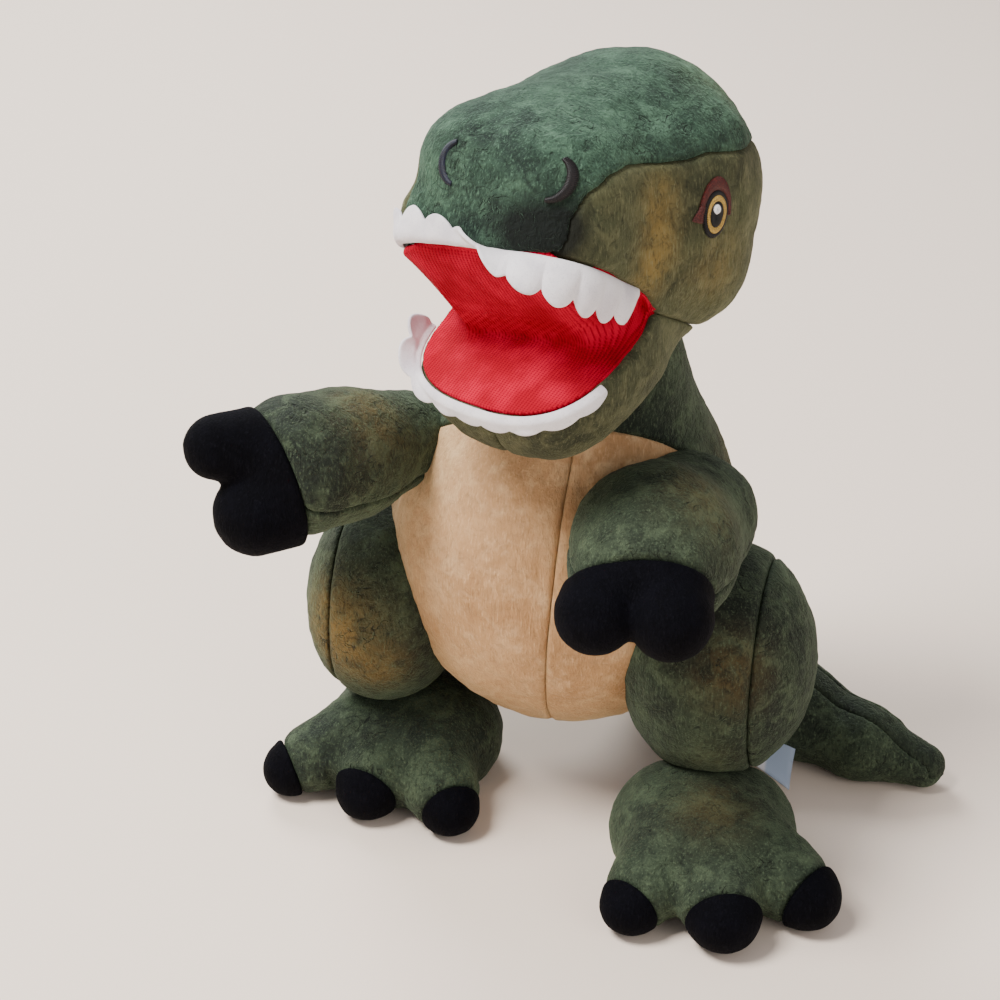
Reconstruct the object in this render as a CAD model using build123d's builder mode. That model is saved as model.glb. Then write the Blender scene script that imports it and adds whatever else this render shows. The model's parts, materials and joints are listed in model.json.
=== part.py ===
"""Stuffed dinosaur, standing on two feet with its mouth open.

The toy is a set of sewn pile-fabric skins, each filled with a core of loose fibre.
It faces -Y with +Z up, and its own left side is +X. Lengths are millimetres.
Every stuffed form is a pod, the smooth hull of two balls, or a rounded cushion.
The body is the root. Neck, head, jaw, arms, legs and tail are separate bodies that turn in
round hollows of their neighbour, where the cloth of the real toy flexes at its seams.
"""
from build123d import *
from math import acos, atan2, cos, hypot, radians, sin
import os

# ---- driving dimensions -------------------------------------------------------------
CLOTH = 2.0  # pile fabric: knitted backing and nap together
FILL_GAP = 0.2  # between a skin and the fibre inside it
TURN_GAP = 0.8  # free space round a limb's root where it turns in the body
FELT = 1.2  # teeth
LINING = 1.0  # knitted lining of the mouth
THREAD = 0.8  # height of the embroidered eyes and nostrils
SATIN = 0.6  # care label
TOOTH_HEIGHT = 7.0
TRIM_GAP = 0.1  # between trim and the skin it is sewn to

# body: a ball that narrows to a collar, on an axis from its lowest point to the neck's pivot
BODY_FOOT = (0, 16, 24)
BELLY_RADIUS = 46.0
NECK_PIVOT = (9, 5, 130)
NECK_RADIUS = 21.0
COLLAR_RADIUS = 24.0
COLLAR_SINK = 8.0  # the collar lies this far below the neck ball's centre
BELLY_SEAM_FORWARD = 6.0  # the belly panels end this far in front of the body's axis

# head: a pod from skull to nose, turned to its right and looking up
HEAD_CENTRE = (16, 0, 180)
HEAD_TURN = 22.0
HEAD_PITCH = 15.0
SKULL_RADIUS = 33.0
NOSE_FORWARD = 36.0
NOSE_RADIUS = 22.0
MOUTH_HINGE = (14, 0, -25)  # fold of the lining: forward, sideways and up in the head's frame
LIP_RISE = 17.5  # of the upper lip above the head's forward axis, in degrees
THROAT_PITCH = -112.0  # the head's wall behind the throat, from level
CHEEK_SEAM_RISE = 8.0  # crown and cheeks meet this far above the head's centre
CHEEK_FRONT = 34.0  # the cheeks end this far forward, where the snout begins
LIP_CENTRE = 16.0  # forward of the lining's fold
LIP_RADII = (24, 23)  # of the U that the upper teeth follow, forward and sideways
EYE_AT = (6.6, 0)  # forward and up in the head's frame
EYE_SIZE = (9.0, 15.5)
NOSTRIL_AT = (14, 6)  # sideways and up in the head's frame
NOSTRIL_SIZE = (9.0, 6.0)

# jaw: the lower part of a pod, below the flat floor of the mouth
JAW_PITCH = -24.0
JAW_BACK = 2.0  # the jaw begins this far in front of the lining's fold
JAW_BALLS = [((14, 0, 7), 26.0), ((26, 0, 6), 19.0)]  # centre in the jaw's frame, radius
JAW_LIP_CENTRE = 8.0
JAW_LIP_RADII = (36, 25)
JAW_NECK_GAP = 2.5  # between the jaw and the neck ball, so that the jaw can drop

# limbs: centre and radius of the two balls of each pod, root first
ARMS = {
    "right": [((-39, -11, 108), 16.5), ((-63, -34, 110), 16.0)],
    "left": [((46, -20, 110), 16.5), ((33, -46, 105), 18.5)],
}
CLAW_LOBES = {  # tips of the two lobes of each hand
    "right": [((-79, -44, 119), 9.0), ((-69, -46, 102), 10.5)],
    "left": [((25, -64, 95), 10.0), ((42, -61, 94), 10.5)],
}
TAIL = [((20, 61, 24), 19.0), ((100, 27, 6), 6.0)]
TAIL_GUSSET_HALF_WIDTH = 5.0

# legs: thigh cushion, foot cushion and claws of each side
THIGHS = {  # centre, half width along the hip's axis, radius
    "right": ((-45, 4, 56), 22.0, 30.0),
    "left": ((47, -2, 55), 24.0, 31.0),
}
THIGH_EDGE_RADIUS = 20.0  # of the rounding all round the thigh
THIGH_SEAM_SHARE = 0.45  # the side panel's seam, as a share of the thigh's half width
FEET = {"right": ((-42, -3, 14), -14.0), "left": ((47, -30, 14), 18.0)}  # centre, turn
FOOT_BALLS = [(-4.5, 22.5), (6.0, 21.0)]  # forward of the foot's centre, radius
SOLE_THICKNESS = 2.0
CLAW_TIPS = {
    "right": {"outer": (-68, -19), "middle": (-47, -26), "inner": (-23, -28)},
    "left": {"inner": (34, -58), "middle": (58, -58), "outer": (77, -46)},
}
CLAW_RADIUS = 9.0
CLAW_ROOT_RADIUS = 11.0
CLAW_ROOT_SHARE = 0.6  # of the way back from a claw's tip to the foot's centre

# care label: a blank satin flap in the body's seam behind the left leg
LABEL_SIZE = (30, 19)
LABEL_AT = (51, 19, 13)
LABEL_RUN = (27, -7, -14)  # from the seam to its free edge
LABEL_SLOPE = (0, 17, 9)  # across it

FAR = 300.0  # beyond every surface of the toy


# ---- frames -------------------------------------------------------------------------
def facing(centre, turn, pitch):
    """A frame with x forward, y to the toy's left and z up, turned to its right and pitched up."""
    rise = radians(pitch)
    forward = Vector(0, -cos(rise), sin(rise)).rotate(Axis.Z, -turn)
    left = Vector(1, 0, 0).rotate(Axis.Z, -turn)
    return Plane(origin=centre, x_dir=forward, z_dir=forward.cross(left))


def section(frame, forward):
    """The plane that cuts a frame across, a distance along its forward axis."""
    return Plane(origin=frame.from_local_coords((forward, 0, 0)), x_dir=frame.y_dir, z_dir=frame.x_dir)


HEAD = facing(HEAD_CENTRE, HEAD_TURN, HEAD_PITCH)
HINGE = HEAD.from_local_coords(MOUTH_HINGE)
PALATE_PITCH = HEAD_PITCH + LIP_RISE
PALATE = facing(HINGE, HEAD_TURN, PALATE_PITCH)
JAW = facing(HINGE, HEAD_TURN, JAW_PITCH)
BODY_AXIS = Vector(*NECK_PIVOT) - Vector(*BODY_FOOT)
BODY = Plane(origin=BODY_FOOT, x_dir=(1, 0, 0), z_dir=BODY_AXIS)
BELLY_SEAM = Plane(origin=BODY.from_local_coords((0, -BELLY_SEAM_FORWARD, 0)), z_dir=BODY.y_dir)
MIDDLE = Plane(origin=BODY_FOOT, z_dir=(1, 0, -BODY_AXIS.X / BODY_AXIS.Z))
HEAD_MIDDLE = Plane(origin=HEAD_CENTRE, z_dir=HEAD.y_dir)


# ---- forms: each is a closed solid, drawn smaller by inset --------------------------
def ball(centre, radius):
    with BuildPart() as form:
        with Locations(centre):
            Sphere(radius)
    return form.part


def pod(balls, inset=0.0):
    """The hull of two balls: two spheres and the cone that touches both."""
    (start, start_radius), (end, end_radius) = balls
    run = Vector(*end) - Vector(*start)
    near, far = start_radius - inset, end_radius - inset
    lean = acos((near - far) / run.length)
    half_lean = lean / 2
    plane = Plane(origin=start, z_dir=run)
    with BuildPart() as form:
        with BuildSketch(Plane(origin=start, x_dir=plane.z_dir, z_dir=plane.x_dir)):
            with BuildLine():
                touch = Vector(near * cos(lean), near * sin(lean))
                last = Vector(run.length + far * cos(lean), far * sin(lean))
                ThreePointArc((-near, 0), Vector(-near, 0).rotate(Axis.Z, -45), touch)
                Line(touch, last)
                nose = Vector(run.length + far * cos(half_lean), far * sin(half_lean))
                ThreePointArc(last, nose, (run.length + far, 0))
                Line((run.length + far, 0), (-near, 0))
            make_face()
        revolve(axis=Axis(start, run))
    return form.part


def pear(inset=0.0):
    """The body without its neck: a sphere and the cone that runs from it to the collar."""
    radius = BELLY_RADIUS - inset
    collar = Vector(COLLAR_RADIUS - inset, BODY_AXIS.length - COLLAR_SINK - inset)
    above_centre = collar.Y - BELLY_RADIUS
    lean = atan2(above_centre, collar.X) - acos(radius / hypot(collar.X, above_centre))
    with BuildPart() as form:
        with BuildSketch(Plane(origin=BODY.origin, x_dir=BODY.x_dir, z_dir=-BODY.y_dir)):
            with BuildLine():
                touch = Vector(radius * cos(lean), BELLY_RADIUS + radius * sin(lean))
                ThreePointArc((0, inset), (radius, BELLY_RADIUS), touch)
                Line(touch, collar)
                Line(collar, (0, collar.Y))
                Line((0, collar.Y), (0, inset))
            make_face()
        revolve(axis=Axis(BODY.origin, BODY.z_dir))
    return form.part


def thigh(side, inset=0.0):
    """A round cushion about the hip's axis, so that it turns within its own outline."""
    centre, half_width, radius = THIGHS[side]
    with BuildPart() as form:
        with BuildSketch(Plane(origin=centre, x_dir=(1, 0, 0), z_dir=(0, -1, 0))):
            width, depth = 2 * (half_width - inset), radius - inset
            with Locations((0, depth / 2)):
                Rectangle(width, depth)
            fillet(vertices().group_by(Axis.Y)[-1], THIGH_EDGE_RADIUS - inset)
        revolve(axis=Axis(centre, (1, 0, 0)))
    return form.part


def layer(frame, low, high):
    """All the space near a frame's level plane, between two distances above it."""
    with BuildPart() as form:
        with BuildSketch(frame.offset(low)):
            Rectangle(FAR, FAR)
        extrude(amount=high - low)
    return form.part


def foot_pad(side, inset=0.0):
    """The foot's cushion, an oval pebble that the floor cuts flat."""
    centre, turn = FEET[side]
    axis = Vector(0, -1, 0).rotate(Axis.Z, turn)
    balls = [(tuple(Vector(*centre) + axis * forward), radius) for forward, radius in FOOT_BALLS]
    pebble = pod(balls, inset)
    return cut(pebble, thigh(side, -TRIM_GAP - inset), layer(Plane.XY, -FAR, inset))


def mouth_gap(inset=0.0):
    """The space between palate and throat, a wide prism with its edge at the lining's fold."""
    half_opening = (PALATE_PITCH - THROAT_PITCH) / 2
    level = facing(HINGE, HEAD_TURN, 0)
    middle = facing(HINGE, HEAD_TURN, PALATE_PITCH - half_opening).x_dir
    apex = HINGE - middle * (inset / sin(radians(half_opening)))
    with BuildPart() as form:
        with BuildSketch(Plane(origin=apex, x_dir=level.x_dir, z_dir=-level.y_dir)):
            with BuildLine():
                pitches = [radians(PALATE_PITCH - share * half_opening) for share in (0, 1, 2)]
                rim = [(FAR * cos(pitch), FAR * sin(pitch)) for pitch in pitches]
                Polyline((0, 0), *rim, close=True)
            make_face()
        extrude(amount=FAR, both=True)
    return form.part


def lip_band(frame, centre, radii, inner, outer, low, high):
    """A U-shaped strip that follows a lip, between two distances from it and two heights."""
    with BuildPart() as form:
        with BuildSketch(frame.offset(low)):
            with Locations((centre, 0)):
                Ellipse(radii[0] + outer, radii[1] + outer)
                Ellipse(radii[0] + inner, radii[1] + inner, mode=Mode.SUBTRACT)
            with Locations((centre - FAR / 2, 0)):
                Rectangle(FAR, FAR, mode=Mode.SUBTRACT)
        extrude(amount=high - low)
    return form.part


# ---- combining ----------------------------------------------------------------------
def cut(form, *tools):
    with BuildPart() as rest:
        add(form)
        for tool in tools:
            add(tool, mode=Mode.SUBTRACT)
    return rest.part


def common(form, tool):
    with BuildPart() as shared:
        add(form)
        add(tool, mode=Mode.INTERSECT)
    return shared.part


def side_of(form, plane, which):
    with BuildPart() as rest:
        add(form)
        split(bisect_by=plane, keep=which)
    return rest.part


pieces = {}


def finish(name, *parts):
    """Names a piece, of one solid or a group of them, and holds it until the toy is placed."""
    pieces[name] = [solid for part in parts for solid in part.solids()]


# ---- body and neck ------------------------------------------------------------------
def hollows(gap):
    """Room for the neck, the arms, the tail and the thighs, grown by a gap."""
    roots = [(NECK_PIVOT, NECK_RADIUS), *(balls[0] for balls in ARMS.values()), TAIL[0]]
    return [ball(centre, radius + gap) for centre, radius in roots] + [thigh(side, -gap) for side in THIGHS]


def make_body():
    fill = CLOTH + FILL_GAP
    skin = cut(pear(), pear(CLOTH))
    for side, which in (("left", Keep.TOP), ("right", Keep.BOTTOM)):
        half = side_of(skin, MIDDLE, which)
        finish(f"belly_panel_{side}", cut(side_of(half, BELLY_SEAM, Keep.BOTTOM), *hollows(TURN_GAP)))
        finish(f"back_panel_{side}", cut(side_of(half, BELLY_SEAM, Keep.TOP), *hollows(TURN_GAP)))
    finish("body_stuffing", cut(pear(fill), *hollows(TURN_GAP)))
    face = Plane(origin=LABEL_AT, x_dir=LABEL_RUN, z_dir=Vector(*LABEL_RUN).cross(Vector(*LABEL_SLOPE)))
    with BuildPart() as label:
        with BuildSketch(face):
            Rectangle(*LABEL_SIZE)
        extrude(amount=SATIN)
    finish("care_label", label.part)


def make_neck():
    finish("neck_panel", cut(ball(NECK_PIVOT, NECK_RADIUS), ball(NECK_PIVOT, NECK_RADIUS - CLOTH)))
    finish("neck_stuffing", ball(NECK_PIVOT, NECK_RADIUS - CLOTH - FILL_GAP))


# ---- head and jaw -------------------------------------------------------------------
def head_pod(inset=0.0):
    nose = HEAD.from_local_coords((NOSE_FORWARD, 0, 0))
    return pod([(HEAD_CENTRE, SKULL_RADIUS), (tuple(nose), NOSE_RADIUS)], inset)


def head_form(inset, neck_gap):
    return cut(head_pod(inset), mouth_gap(inset), ball(NECK_PIVOT, NECK_RADIUS + neck_gap))


def make_head():
    outer = head_form(0, TURN_GAP)
    palate = layer(PALATE, 0, LINING)
    finish("palate_lining", side_of(common(outer, palate), section(PALATE, 0), Keep.TOP))
    skin = cut(outer, head_form(CLOTH, TURN_GAP + CLOTH), layer(PALATE, -LINING, LINING))
    seam = Plane(origin=HEAD.from_local_coords((0, 0, CHEEK_SEAM_RISE)), z_dir=HEAD.z_dir)
    snout = section(HEAD, CHEEK_FRONT)
    below = side_of(skin, seam, Keep.BOTTOM)
    cheeks = side_of(below, snout, Keep.BOTTOM)
    finish("crown_panel", side_of(skin, seam, Keep.TOP))
    finish("snout_panel", side_of(below, snout, Keep.TOP))
    finish("cheek_panel_left", side_of(cheeks, HEAD_MIDDLE, Keep.TOP))
    finish("cheek_panel_right", side_of(cheeks, HEAD_MIDDLE, Keep.BOTTOM))
    fill = CLOTH + FILL_GAP
    finish("head_stuffing", head_form(fill, TURN_GAP + fill))
    teeth = lip_band(PALATE, LIP_CENTRE, LIP_RADII, 0, FELT, -TOOTH_HEIGHT, -TRIM_GAP)
    finish("upper_teeth", teeth)


def make_embroidery():
    """Eyes and nostrils, which stand on the skin by a thread's height."""
    nap = cut(head_pod(-THREAD), head_pod(-TRIM_GAP))
    for side, sign in (("left", 1), ("right", -1)):
        with BuildPart() as eye_column:
            with BuildSketch(Plane(origin=HEAD_CENTRE, x_dir=HEAD.x_dir, z_dir=HEAD.y_dir * sign)):
                with Locations((EYE_AT[0], -sign * EYE_AT[1])):
                    Ellipse(EYE_SIZE[0] / 2, EYE_SIZE[1] / 2)
            extrude(amount=FAR)
        finish(f"eye_{side}", common(nap, eye_column.part))
        with BuildPart() as nostril_column:
            with BuildSketch(section(HEAD, NOSE_FORWARD)):
                with Locations((sign * NOSTRIL_AT[0], NOSTRIL_AT[1])):
                    Ellipse(NOSTRIL_SIZE[0] / 2, NOSTRIL_SIZE[1] / 2)
            extrude(amount=FAR)
        finish(f"nostril_{side}", common(nap, nostril_column.part))


def jaw_form(inset=0.0):
    """The pod below the mouth's floor, cut square behind and round the neck."""
    balls = [(tuple(JAW.from_local_coords(centre)), radius) for centre, radius in JAW_BALLS]
    below = side_of(pod(balls, inset), JAW.offset(-inset), Keep.BOTTOM)
    ahead = side_of(below, section(JAW, JAW_BACK + inset), Keep.TOP)
    return cut(ahead, ball(NECK_PIVOT, NECK_RADIUS + JAW_NECK_GAP + inset))


def make_jaw():
    outer = jaw_form()
    finish("jaw_lining", side_of(outer, JAW.offset(-LINING), Keep.TOP))
    skin = cut(side_of(outer, JAW.offset(-LINING), Keep.BOTTOM), jaw_form(CLOTH))
    finish("jaw_panel_left", side_of(skin, HEAD_MIDDLE, Keep.TOP))
    finish("jaw_panel_right", side_of(skin, HEAD_MIDDLE, Keep.BOTTOM))
    finish("jaw_stuffing", jaw_form(CLOTH + FILL_GAP))
    teeth = lip_band(JAW, JAW_LIP_CENTRE, JAW_LIP_RADII, 0, TOOTH_HEIGHT, TRIM_GAP, FELT)
    finish("lower_teeth", teeth)


# ---- limbs --------------------------------------------------------------------------
def make_arm(side):
    balls = ARMS[side]
    skin = cut(pod(balls), pod(balls, CLOTH))
    root, hand = Vector(*balls[0][0]), Vector(*balls[1][0])
    across = (hand - root).cross(Vector(0, 0, 1))
    seam = Plane(origin=root, z_dir=across.cross(hand - root))
    finish(f"arm_upper_panel_{side}", side_of(skin, seam, Keep.TOP))
    finish(f"arm_under_panel_{side}", side_of(skin, seam, Keep.BOTTOM))
    finish(f"arm_stuffing_{side}", pod(balls, CLOTH + FILL_GAP))
    first, second = [pod([(balls[1][0], radius - 1), (tip, radius)]) for tip, radius in CLAW_LOBES[side]]
    hand_room = pod(balls, -TRIM_GAP)
    finish(f"arm_claws_{side}", cut(first, hand_room), cut(second, hand_room, first))


def make_thigh(side):
    skin = cut(thigh(side), thigh(side, CLOTH))
    centre, half_width, _ = THIGHS[side]
    outward = 1 if side == "left" else -1
    seam = Plane(origin=(centre[0] + outward * THIGH_SEAM_SHARE * half_width, 0, 0), z_dir=(outward, 0, 0))
    finish(f"thigh_side_panel_{side}", side_of(skin, seam, Keep.TOP))
    finish(f"thigh_front_panel_{side}", side_of(skin, seam, Keep.BOTTOM))
    finish(f"thigh_stuffing_{side}", thigh(side, CLOTH + FILL_GAP))


def make_foot(side):
    """A padded foot on a flat sole, with three claws that come out of its front."""
    pad = foot_pad(side)
    skin = cut(pad, foot_pad(side, CLOTH))
    centre = Vector(*FEET[side][0][:2])
    claws = {}
    for name, tip in CLAW_TIPS[side].items():
        end = Vector(*tip, CLAW_RADIUS - 1)
        root = end + (Vector(centre.X, centre.Y, CLAW_RADIUS) - end) * CLAW_ROOT_SHARE
        whole = pod([(tuple(root), CLAW_ROOT_RADIUS), (tuple(end), CLAW_RADIUS)])
        claws[name] = cut(whole, pad, thigh(side, -TRIM_GAP), layer(Plane.XY, -FAR, 0))
    finish(f"toe_claw_{side}_middle", claws["middle"])
    for name in ("inner", "outer"):
        finish(f"toe_claw_{side}_{name}", cut(claws[name], claws["middle"]))
    sole = layer(Plane.XY, 0, SOLE_THICKNESS)
    finish(f"foot_sole_{side}", common(skin, sole))
    finish(f"foot_upper_{side}", cut(skin, sole))
    finish(f"foot_stuffing_{side}", foot_pad(side, CLOTH + FILL_GAP))


def make_tail():
    """Two side panels under a narrow gusset that runs along the top to the tip."""
    skin = cut(pod(TAIL), pod(TAIL, CLOTH))
    root, tip = Vector(*TAIL[0][0]), Vector(*TAIL[1][0])
    across = Vector(0, 0, 1).cross(tip - root)
    upright = Plane(origin=root, x_dir=tip - root, z_dir=across)
    waist = Plane(origin=root, x_dir=tip - root, z_dir=(tip - root).cross(across))
    band = side_of(layer(upright, -TAIL_GUSSET_HALF_WIDTH, TAIL_GUSSET_HALF_WIDTH), waist, Keep.TOP)
    finish("tail_gusset", common(skin, band))
    sides = cut(skin, band)
    finish("tail_panel_left", side_of(sides, upright, Keep.BOTTOM))
    finish("tail_panel_right", side_of(sides, upright, Keep.TOP))
    finish("tail_stuffing", pod(TAIL, CLOTH + FILL_GAP))


# ---- placing ------------------------------------------------------------------------
def write_pieces():
    """Moves the toy so that its origin is at the bottom centre of its box, and writes each piece."""
    os.makedirs("parts", exist_ok=True)
    box = Compound([solid for solids in pieces.values() for solid in solids]).bounding_box()
    middle = box.center()
    home = Location((-middle.X, -middle.Y, -box.min.Z))
    for name, solids in pieces.items():
        placed = Part([solid.moved(home) for solid in solids])
        placed.label = name
        export_step(placed, f"parts/{name}.step")
    print("pieces", len(pieces), "box", box.size, "moved by", home.position)


make_body()
make_neck()
make_head()
make_embroidery()
make_jaw()
for each_side in ("left", "right"):
    make_arm(each_side)
    make_thigh(each_side)
    make_foot(each_side)
make_tail()
write_pieces()
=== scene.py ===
"""The look of the stuffed dinosaur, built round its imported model.

Shapes are drawn as distance fields in millimetres, in the toy's own frame: it faces -Y, +Z is up
and its left side is +X. HOME moves them to the row frame. Every sewn panel is its own closed
mesh, cut from the field of its body with rounded rims, so that a seam is a real groove.
"""

import json
import math

import bpy
import numpy as np
import openvdb
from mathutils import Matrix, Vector


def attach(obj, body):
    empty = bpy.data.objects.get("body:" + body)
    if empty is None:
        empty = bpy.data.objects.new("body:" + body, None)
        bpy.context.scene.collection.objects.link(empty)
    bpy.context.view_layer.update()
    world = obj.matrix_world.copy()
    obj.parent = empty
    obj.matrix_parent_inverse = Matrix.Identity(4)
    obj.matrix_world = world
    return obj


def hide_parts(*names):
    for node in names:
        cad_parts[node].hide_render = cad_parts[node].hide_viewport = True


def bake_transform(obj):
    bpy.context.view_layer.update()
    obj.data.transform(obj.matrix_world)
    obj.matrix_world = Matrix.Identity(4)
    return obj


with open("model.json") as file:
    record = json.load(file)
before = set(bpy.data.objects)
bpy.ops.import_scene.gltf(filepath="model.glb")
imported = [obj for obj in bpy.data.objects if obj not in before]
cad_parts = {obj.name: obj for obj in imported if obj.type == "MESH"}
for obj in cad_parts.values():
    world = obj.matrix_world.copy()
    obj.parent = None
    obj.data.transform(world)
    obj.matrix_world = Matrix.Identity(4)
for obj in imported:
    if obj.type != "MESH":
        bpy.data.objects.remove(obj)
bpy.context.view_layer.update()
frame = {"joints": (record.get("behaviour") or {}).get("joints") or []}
MM = 0.001
PIVOT = {joint["name"]: np.array(joint["pos_m"]) / MM for joint in frame["joints"]}
NECK_PIVOT = np.array((9.0, 5.0, 130.0))
HOME = PIVOT["neck_turn"] - NECK_PIVOT
STEP = 0.8  # of the fields' grids
FINE_STEP = 0.5
FILL = 0.8  # of limbs and body, with loose fibre
FIRM_FILL = 0.85  # of head and tail


# ---- frames -------------------------------------------------------------------------
class Local:
    """A frame with x forward, y to the toy's left and z up.

    In degrees, it is turned to the toy's right, pitched up, and rolled with its left side up.
    """

    def __init__(self, centre, turn, pitch, roll=0):
        turn, pitch, roll = (math.radians(angle) for angle in (turn, pitch, roll))
        self.centre = np.array(centre, float)
        forward = (-math.sin(turn) * math.cos(pitch), -math.cos(turn) * math.cos(pitch), math.sin(pitch))
        level_left = np.array((math.cos(turn), -math.sin(turn), 0.0))
        level_above = np.cross(forward, level_left)
        left = level_left * math.cos(roll) + level_above * math.sin(roll)
        above = level_above * math.cos(roll) - level_left * math.sin(roll)
        self.axes = np.array((forward, left, above))

    def inside(self, points):
        return (points - self.centre.astype(points.dtype)) @ self.axes.T.astype(points.dtype)

    def outside(self, points):
        return self.centre + np.asarray(points, float) @ self.axes


HEAD_TURN = 22.0
HEAD = Local((16, 0, 180), HEAD_TURN, 15)
HINGE = PIVOT["jaw_flex"] - HOME
PALATE = Local(HINGE, HEAD_TURN, 32.5, 8)
JAW = Local(HINGE, HEAD_TURN + 6, -24, 3)
JAW_SEAM = Local(HINGE, HEAD_TURN, 28)  # its level plane goes from the mouth's fold to the nape
FEET = {"right": Local((-42, -3, 14), 14, 0), "left": Local((47, -30, 14), -18, 0)}


# ---- fields -------------------------------------------------------------------------
def length(vectors):
    return np.sqrt(np.einsum("...i,...i", vectors, vectors))


def blob(points, centre, radii):
    """An ellipsoid along the axes of the points' own frame."""
    radii = np.array(radii, points.dtype)
    away = (points - np.array(centre, points.dtype)) / radii
    near = length(away)
    return near * (near - 1) / np.maximum(length(away / radii), 1e-6)


def block(points, centre, radii, power):
    """A blob with fuller corners."""
    radii = np.array(radii, points.dtype)
    away = np.abs(points - np.array(centre, points.dtype)) / radii
    near = (away**power).sum(-1) ** (1 / power)
    pull = (away / radii) * away ** (power - 2)
    return (near - 1) * near ** (power - 1) / np.maximum(length(pull), 1e-4)


def pod(points, start, start_radius, end, end_radius):
    """The hull of two balls."""
    start, end = np.array(start, np.float64), np.array(end, np.float64)
    run = end - start
    span = float(run @ run)
    drop = start_radius - end_radius
    slope = span - drop * drop
    away = points - start.astype(points.dtype)
    along = away @ run.astype(points.dtype)
    beyond = along - span
    across = np.maximum(np.einsum("...i,...i", away, away) * span - along * along, 0)
    side = math.copysign(1, drop) * drop * drop * across
    at_end = np.sqrt(across * span + beyond * beyond * span) / span - end_radius
    at_start = np.sqrt(across * span + along * along * span) / span - start_radius
    between = (np.sqrt(across * slope) + along * drop) / span - start_radius
    field = np.where(np.sign(along) * slope * along * along < side, at_start, between)
    return np.where(np.sign(beyond) * slope * beyond * beyond > side, at_end, field)


def join(first, second, soft):
    """The union of two fields, with a fillet."""
    near = np.maximum(soft - np.abs(first - second), 0) / soft
    return np.minimum(first, second) - near * near * soft / 4


def meet(first, second, soft):
    """The intersection of two fields, with a rounded edge."""
    return -join(-first, -second, soft)


def noise(points, size, seed):
    """Smooth noise from -1 to 1, whose lumps are about a size across."""
    count = 32
    lattice = np.random.default_rng(seed).random((count, count, count), dtype=np.float32) * 2 - 1
    places = points / size + 1000.37
    low = np.floor(places).astype(np.int64)
    part = (places - low).astype(np.float32)
    part = part * part * (3 - 2 * part)
    total = np.zeros(points.shape[:-1], np.float32)
    for corner in np.ndindex(2, 2, 2):
        weight = np.ones_like(total)
        for axis in range(3):
            weight = weight * (part[..., axis] if corner[axis] else 1 - part[..., axis])
        index = [(low[..., axis] + corner[axis]) % count for axis in range(3)]
        total += weight * lattice[tuple(index)]
    return total


def bump(values, width):
    return np.exp(-((values / width) ** 2))


# ---- forms of the toy ---------------------------------------------------------------
ARM_BALLS = {
    "right": [((-42, -2, 105), 13.0), ((-53, -21, 108.5), 16.6), ((-61, -33, 110.5), 18.4)],
    "left": [((38, -14, 98), 17.0), ((32.2, -35, 99.5), 20.4), ((31.5, -45, 99), 19.4)],
}
MITT_LOBES = {
    "right": [((-66, -37, 117), 11, (-79, -45, 119), 8.3), ((-61, -37, 104), 13.5, (-69, -46, 102), 11.0)],
    "left": [((26, -50, 99), 12, (23, -63, 95), 10.3), ((37, -49, 99), 12, (41.3, -61, 95), 10.5)],
}
MITT_SEAM = {  # a point on the cuff, and the way to the hand
    "right": ((-66, -38, 110), (-0.74, -0.72, -0.17)),
    "left": ((31.4, -57.2, 104.7), (0.16, -0.86, -0.42)),
}
THIGH_CENTRES = {"right": (-48.5, 3, 54), "left": (45, -4, 51)}
THIGH_RADII = {"right": (22.5, 29, 30.5), "left": (26.5, 31, 33)}
CLAW_TIPS = {
    "right": {"outer": (-71, -21, 7.6), "middle": (-47.5, -27, 8.0), "inner": (-23.5, -29, 7.6)},
    "left": {"inner": (33.5, -60, 7.8), "middle": (57.5, -61, 9.0), "outer": (76.8, -46.5, 8.8)},
}
TAIL_BALLS = [  # from inside the body to the tip
    ((8, 40, 40), 20.0),
    ((20, 54, 27), 18.5),
    ((38, 46, 20.5), 16.5),
    ((61, 33.5, 14.5), 13.3),
    ((82, 26.8, 10.2), 9.9),
    ((99.5, 24.6, 6.8), 6.6),
]


def torso(points):
    belly = blob(points, (-1, 13, 71), (49.5, 43.5, 50.5))
    chest = pod(points, (1.5, 9.5, 99), 36, (9, 4, 131), 22.5)
    return join(belly, chest, 14)


def head(points):
    local = HEAD.inside(points)
    field = blob(local, (-1, 0, 0.5), (34.5, 32, 32.5))
    field = join(field, block(local, (30, -3.5, 0), (28.5, 28.5, 21.5), 3.0), 9)
    field = join(field, pod(local, (2, -2, 3), 30, (30, -5, 5), 20.5), 8)
    for side in (-1, 1):
        field = join(field, blob(local, (9, side * 14 - 1, -13), (21, 16, 17)), 8)
        field = join(field, blob(local, (-6, side * 17, -15), (17, 14, 14)), 6)
        field = join(field, pod(local, (2, side * 20, 15), 10, (20, side * 17, 12), 7), 6)
    return join(field, block(PALATE.inside(points), (21, -4, 5.5), (25, 28.5, 9), 4), 5)


def jaw(points):
    local = JAW.inside(points)
    chin = block(local, (15, -1.5, -2), (28.5, 29, 24), 2.7)
    return join(chin, pod(local, (-12, 1, -6), 20, (12, -1, -4), 20), 8)


def lips(points):
    """The opening between the planes of palate and floor, positive inside, rounded at its corners."""
    floor = JAW.inside(points)
    aside = np.clip(np.abs(floor[..., 1] + 3) / 24, 0, 1.2)
    return join(-PALATE.inside(points)[..., 2], floor[..., 2], 2.5 + 10 * aside**2)


def below_palate(points):
    """How far below the stuffed pillow of the palate."""
    roof = PALATE.inside(points)
    inward = np.clip((26.5 - np.abs(roof[..., 1] + 4)) / 9, 0, 1) ** 0.6
    return -roof[..., 2] - 15 * np.clip((43 - roof[..., 0]) / 34, 0, 1.25) ** 0.7 * inward


def above_floor(points):
    """How far above the slight hump of the mouth's floor."""
    floor = JAW.inside(points)
    return floor[..., 2] - 1.5 * bump(floor[..., 1], 16) * bump(floor[..., 0] - 26, 12)


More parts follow.
